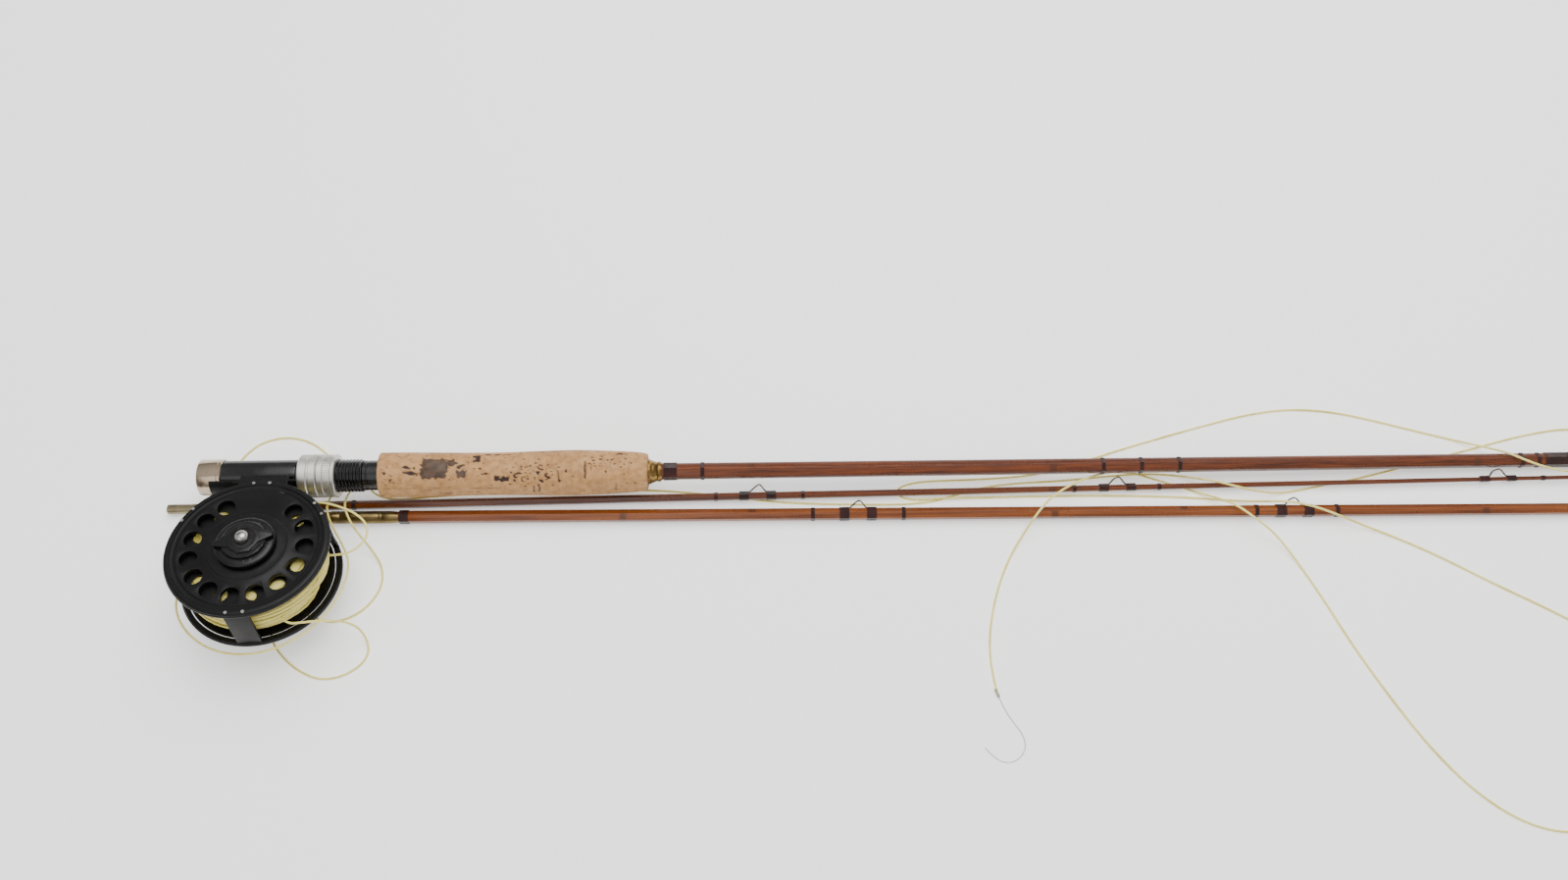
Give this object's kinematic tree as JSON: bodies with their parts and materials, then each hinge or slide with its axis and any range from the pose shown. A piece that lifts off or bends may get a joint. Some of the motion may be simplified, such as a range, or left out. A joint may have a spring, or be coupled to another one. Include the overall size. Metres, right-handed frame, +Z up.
{
  "type": "fly rod",
  "caption": "Split cane fly rod taken apart into butt, middle and tip sections laid side by side, with a fly reel on its down-locking seat and loose fly line running over them.",
  "frame": {"origin": "on the floor under the middle of the three sections' length and of the spread from the reel's far rim to the grip's swell", "axes": "+X from the butt cap towards the tip, +Z up, +Y from the reel towards the seat"},
  "size_m": [0.9526, 0.2579, 0.0642],
  "materials": {
    "cane": "varnished",
    "wrap": "varnished silk",
    "nickel": "aged nickel silver",
    "seat_black": "gloss",
    "silver": "matt anodised",
    "cork": "oiled cork",
    "brass": "aged",
    "reel_black": "satin black",
    "steel": "plain",
    "fibre": "oiled fibre",
    "line": "coated fly line",
    "nylon": "clear nylon",
    "wood_arbor": "plain",
    "horn": "polished",
    "wire": "hard chromed wire"
  },
  "bodies": {
    "butt_section": {"butt_cane": "cane", "butt_whippings": "wrap", "butt_ferrule": "nickel", "seat_end_cap": "nickel", "seat_barrel": "seat_black", "seat_collar": "seat_black", "seat_arbor": "wood_arbor", "cork_grip": "cork", "winding_check": "brass", "reel_back_plate": "reel_black", "reel_front_ring": "reel_black", "reel_pillars": "reel_black", "reel_foot": "reel_black", "frame_rivets": "steel", "reel_spindle": "steel", "drag_washer": "fibre", "drag_knob_screw": "steel", "pawl_post": "steel", "click_spring": "steel", "loose_turn": "line", "loose_coil": "line", "running_line": "line", "leader": "nylon"},
    "spool": {"spool_bush": "brass", "spool_arbor": "reel_black", "spool_rear_flange": "reel_black", "spool_front_flange": "reel_black", "click_gear": "brass", "wound_line": "line", "handle_pin": "steel", "counterweight": "steel", "latch_cover": "steel", "latch_screws": "steel"},
    "handle": {"handle_knob": "horn"},
    "latch": {"spool_latch": "steel"},
    "drag": {"drag_knob": "reel_black", "drag_spring": "steel"},
    "pawl": {"click_pawl": "steel"},
    "hood": {"sliding_hood": "silver"},
    "nut": {"lock_nut": "silver"},
    "mid_section": {"mid_cane": "cane", "mid_whippings": "wrap", "mid_ferrule_male": "nickel", "mid_ferrule_female": "nickel", "mid_guides": "wire"},
    "tip_section": {"tip_cane": "cane", "tip_whippings": "wrap", "tip_ferrule_male": "nickel", "tip_guides": "wire", "tip_top": "wire"}
  },
  "joints": [
    {"name": "spool_spin", "type": "hinge", "parent": "butt_section", "child": "spool", "pos_m": [-0.40742, -0.01197, 0.03615], "axis": [0.0195, 0.2419, 0.9701], "continuous": true},
    {"name": "handle_spin", "type": "hinge", "parent": "spool", "child": "handle", "pos_m": [-0.43908, -0.02391, 0.01399], "axis": [0.0195, 0.2419, 0.9701], "continuous": true},
    {"name": "latch_slide", "type": "slide", "parent": "spool", "child": "latch", "axis": [0.9998, 0, -0.0201], "range_m": [0, 0.0022], "stiffness_N_per_m": 400, "springref_m": -0.0005},
    {"name": "drag_turn", "type": "hinge", "parent": "butt_section", "child": "drag", "pos_m": [-0.40703, -0.00713, 0.05555], "axis": [0.0195, 0.2419, 0.9701], "range_deg": [-300, 0]},
    {"name": "pawl_click", "type": "hinge", "parent": "butt_section", "child": "pawl", "pos_m": [-0.40212, 0.00294, 0.04469], "axis": [0.0195, 0.2419, 0.9701], "range_deg": [-2.5, 2.5], "stiffness_Nm_per_rad": 0.002},
    {"name": "nut_turn", "type": "hinge", "parent": "hood", "child": "nut", "pos_m": [-0.37572, 0.04625, 0.02099], "axis": [0.9998, 0, -0.0201], "range_deg": [0, 2340]},
    {"name": "hood_slide", "type": "slide", "parent": "butt_section", "child": "hood", "axis": [0.9998, 0, -0.0201], "range_m": [0, 0.0131]},
    {"name": "mid_draw", "type": "slide", "parent": "butt_section", "child": "mid_section", "axis": [0.9999, -0.0152, 0], "range_m": [0, 0.03]},
    {"name": "tip_draw", "type": "slide", "parent": "butt_section", "child": "tip_section", "axis": [1, 0.0019, 0], "range_m": [0, 0.024]}
  ],
  "couplings": [
    {"joint": "hood_slide", "follows": "nut_turn", "m_per_rad": 0.00031831}
  ]
}
